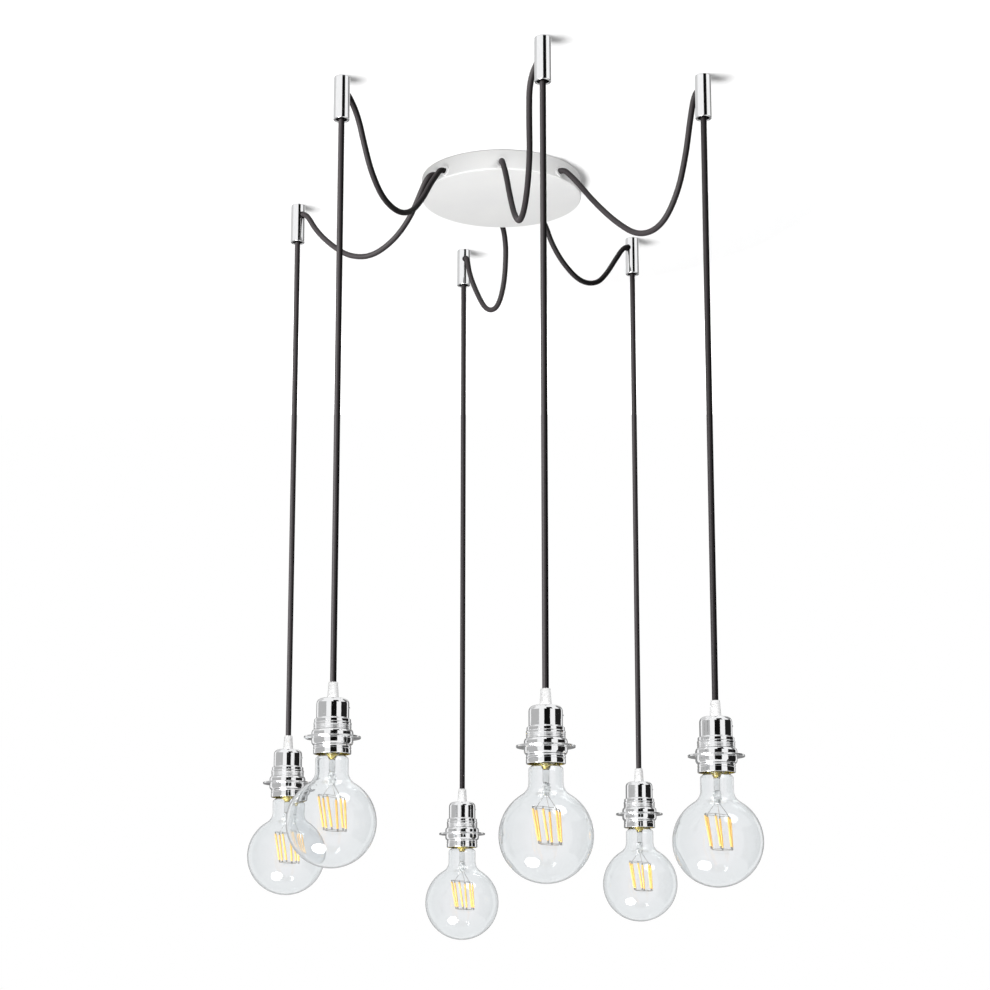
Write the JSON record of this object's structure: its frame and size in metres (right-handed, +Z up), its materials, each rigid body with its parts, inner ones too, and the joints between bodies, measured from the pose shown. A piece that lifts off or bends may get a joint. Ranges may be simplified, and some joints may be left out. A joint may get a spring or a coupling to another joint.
{
  "type": "cluster pendant",
  "caption": "Cluster pendant: round ceiling rose, textile cords swagged to separate ceiling hooks, and bare chromed lampholders with shade rings and clear globe bulbs.",
  "frame": {"origin": "centre of the ceiling rose on the ceiling plane", "axes": "+Z up, square to the ceiling; -Y towards the front hook; +X to the right seen from the front"},
  "size_m": [0.583, 0.756, 0.9375],
  "materials": {
    "white_metal": "satin",
    "zinc_steel": "satin",
    "chrome": "polished",
    "black_textile": "woven",
    "clear_plastic": "gloss",
    "white_plastic": "gloss",
    "clear_glass": "gloss",
    "lamp_cap_metal": "satin"
  },
  "bodies": {
    "ceiling_set": {"rose_cover": "white_metal", "rose_bracket": "zinc_steel", "cover_screws": "white_metal", "terminal_block": "white_plastic", "cord_bushes": "clear_plastic", "hook_plugs": "zinc_steel", "hook_sleeve_front": "chrome", "hook_sleeve_front_right": "chrome", "hook_sleeve_back_right": "chrome", "hook_sleeve_back": "chrome", "hook_sleeve_back_left": "chrome", "hook_sleeve_front_left": "chrome", "swag_cord_front": "black_textile", "swag_cord_front_right": "black_textile", "swag_cord_back_right": "black_textile", "swag_cord_back": "black_textile", "swag_cord_back_left": "black_textile", "swag_cord_front_left": "black_textile"},
    "drop_front": {"hang_cord_front": "black_textile", "cord_grip_front": "clear_plastic", "holder_cap_front": "chrome", "holder_shell_front": "chrome"},
    "rings_front": {"shade_rings_front": "chrome"},
    "bulb_front": {"bulb_glass_front": "clear_glass", "bulb_core_front": "lamp_cap_metal"},
    "drop_front_right": {"hang_cord_front_right": "black_textile", "cord_grip_front_right": "clear_plastic", "holder_cap_front_right": "chrome", "holder_shell_front_right": "chrome"},
    "rings_front_right": {"shade_rings_front_right": "chrome"},
    "bulb_front_right": {"bulb_glass_front_right": "clear_glass", "bulb_core_front_right": "lamp_cap_metal"},
    "drop_back_right": {"hang_cord_back_right": "black_textile", "cord_grip_back_right": "clear_plastic", "holder_cap_back_right": "chrome", "holder_shell_back_right": "chrome"},
    "rings_back_right": {"shade_rings_back_right": "chrome"},
    "bulb_back_right": {"bulb_glass_back_right": "clear_glass", "bulb_core_back_right": "lamp_cap_metal"},
    "drop_back": {"hang_cord_back": "black_textile", "cord_grip_back": "clear_plastic", "holder_cap_back": "chrome", "holder_shell_back": "chrome"},
    "rings_back": {"shade_rings_back": "chrome"},
    "bulb_back": {"bulb_glass_back": "clear_glass", "bulb_core_back": "lamp_cap_metal"},
    "drop_back_left": {"hang_cord_back_left": "black_textile", "cord_grip_back_left": "clear_plastic", "holder_cap_back_left": "chrome", "holder_shell_back_left": "chrome"},
    "rings_back_left": {"shade_rings_back_left": "chrome"},
    "bulb_back_left": {"bulb_glass_back_left": "clear_glass", "bulb_core_back_left": "lamp_cap_metal"},
    "drop_front_left": {"hang_cord_front_left": "black_textile", "cord_grip_front_left": "clear_plastic", "holder_cap_front_left": "chrome", "holder_shell_front_left": "chrome"},
    "rings_front_left": {"shade_rings_front_left": "chrome"},
    "bulb_front_left": {"bulb_glass_front_left": "clear_glass", "bulb_core_front_left": "lamp_cap_metal"}
  },
  "joints": [
    {"name": "swing_front", "type": "hinge", "parent": "ceiling_set", "child": "drop_front", "pos_m": [0.043, -0.404, -0.05], "axis": [-0.9944, -0.1058, 0], "range_deg": [-8, 25]},
    {"name": "ring_travel_front", "type": "slide", "parent": "drop_front", "child": "rings_front", "axis": [0, 0, 1], "range_m": [-0.008, 0.0075]},
    {"name": "bulb_unscrew_front", "type": "slide", "parent": "drop_front", "child": "bulb_front", "axis": [0, 0, -1], "range_m": [0, 0.03]},
    {"name": "swing_front_right", "type": "hinge", "parent": "ceiling_set", "child": "drop_front_right", "pos_m": [0.224, -0.308, -0.05], "axis": [-0.8087, -0.5882, 0], "range_deg": [-8, 25]},
    {"name": "ring_travel_front_right", "type": "slide", "parent": "drop_front_right", "child": "rings_front_right", "axis": [0, 0, 1], "range_m": [-0.008, 0.0075]},
    {"name": "bulb_unscrew_front_right", "type": "slide", "parent": "drop_front_right", "child": "bulb_front_right", "axis": [0, 0, -1], "range_m": [0, 0.03]},
    {"name": "swing_back_right", "type": "hinge", "parent": "ceiling_set", "child": "drop_back_right", "pos_m": [0.178, 0.211, -0.05], "axis": [0.7643, -0.6448, 0], "range_deg": [-8, 25]},
    {"name": "ring_travel_back_right", "type": "slide", "parent": "drop_back_right", "child": "rings_back_right", "axis": [0, 0, 1], "range_m": [-0.008, 0.0075]},
    {"name": "bulb_unscrew_back_right", "type": "slide", "parent": "drop_back_right", "child": "bulb_back_right", "axis": [0, 0, -1], "range_m": [0, 0.03]},
    {"name": "swing_back", "type": "hinge", "parent": "ceiling_set", "child": "drop_back", "pos_m": [-0.051, 0.257, -0.05], "axis": [0.9809, 0.1946, 0], "range_deg": [-8, 25]},
    {"name": "ring_travel_back", "type": "slide", "parent": "drop_back", "child": "rings_back", "axis": [0, 0, 1], "range_m": [-0.008, 0.0075]},
    {"name": "bulb_unscrew_back", "type": "slide", "parent": "drop_back", "child": "bulb_back", "axis": [0, 0, -1], "range_m": [0, 0.03]},
    {"name": "swing_back_left", "type": "hinge", "parent": "ceiling_set", "child": "drop_back_left", "pos_m": [-0.264, 0.088, -0.05], "axis": [0.3162, 0.9487, 0], "range_deg": [-8, 25]},
    {"name": "ring_travel_back_left", "type": "slide", "parent": "drop_back_left", "child": "rings_back_left", "axis": [0, 0, 1], "range_m": [-0.008, 0.0075]},
    {"name": "bulb_unscrew_back_left", "type": "slide", "parent": "drop_back_left", "child": "bulb_back_left", "axis": [0, 0, -1], "range_m": [0, 0.03]},
    {"name": "swing_front_left", "type": "hinge", "parent": "ceiling_set", "child": "drop_front_left", "pos_m": [-0.179, -0.304, -0.05], "axis": [-0.8617, 0.5074, 0], "range_deg": [-8, 25]},
    {"name": "ring_travel_front_left", "type": "slide", "parent": "drop_front_left", "child": "rings_front_left", "axis": [0, 0, 1], "range_m": [-0.008, 0.0075]},
    {"name": "bulb_unscrew_front_left", "type": "slide", "parent": "drop_front_left", "child": "bulb_front_left", "axis": [0, 0, -1], "range_m": [0, 0.03]}
  ]
}
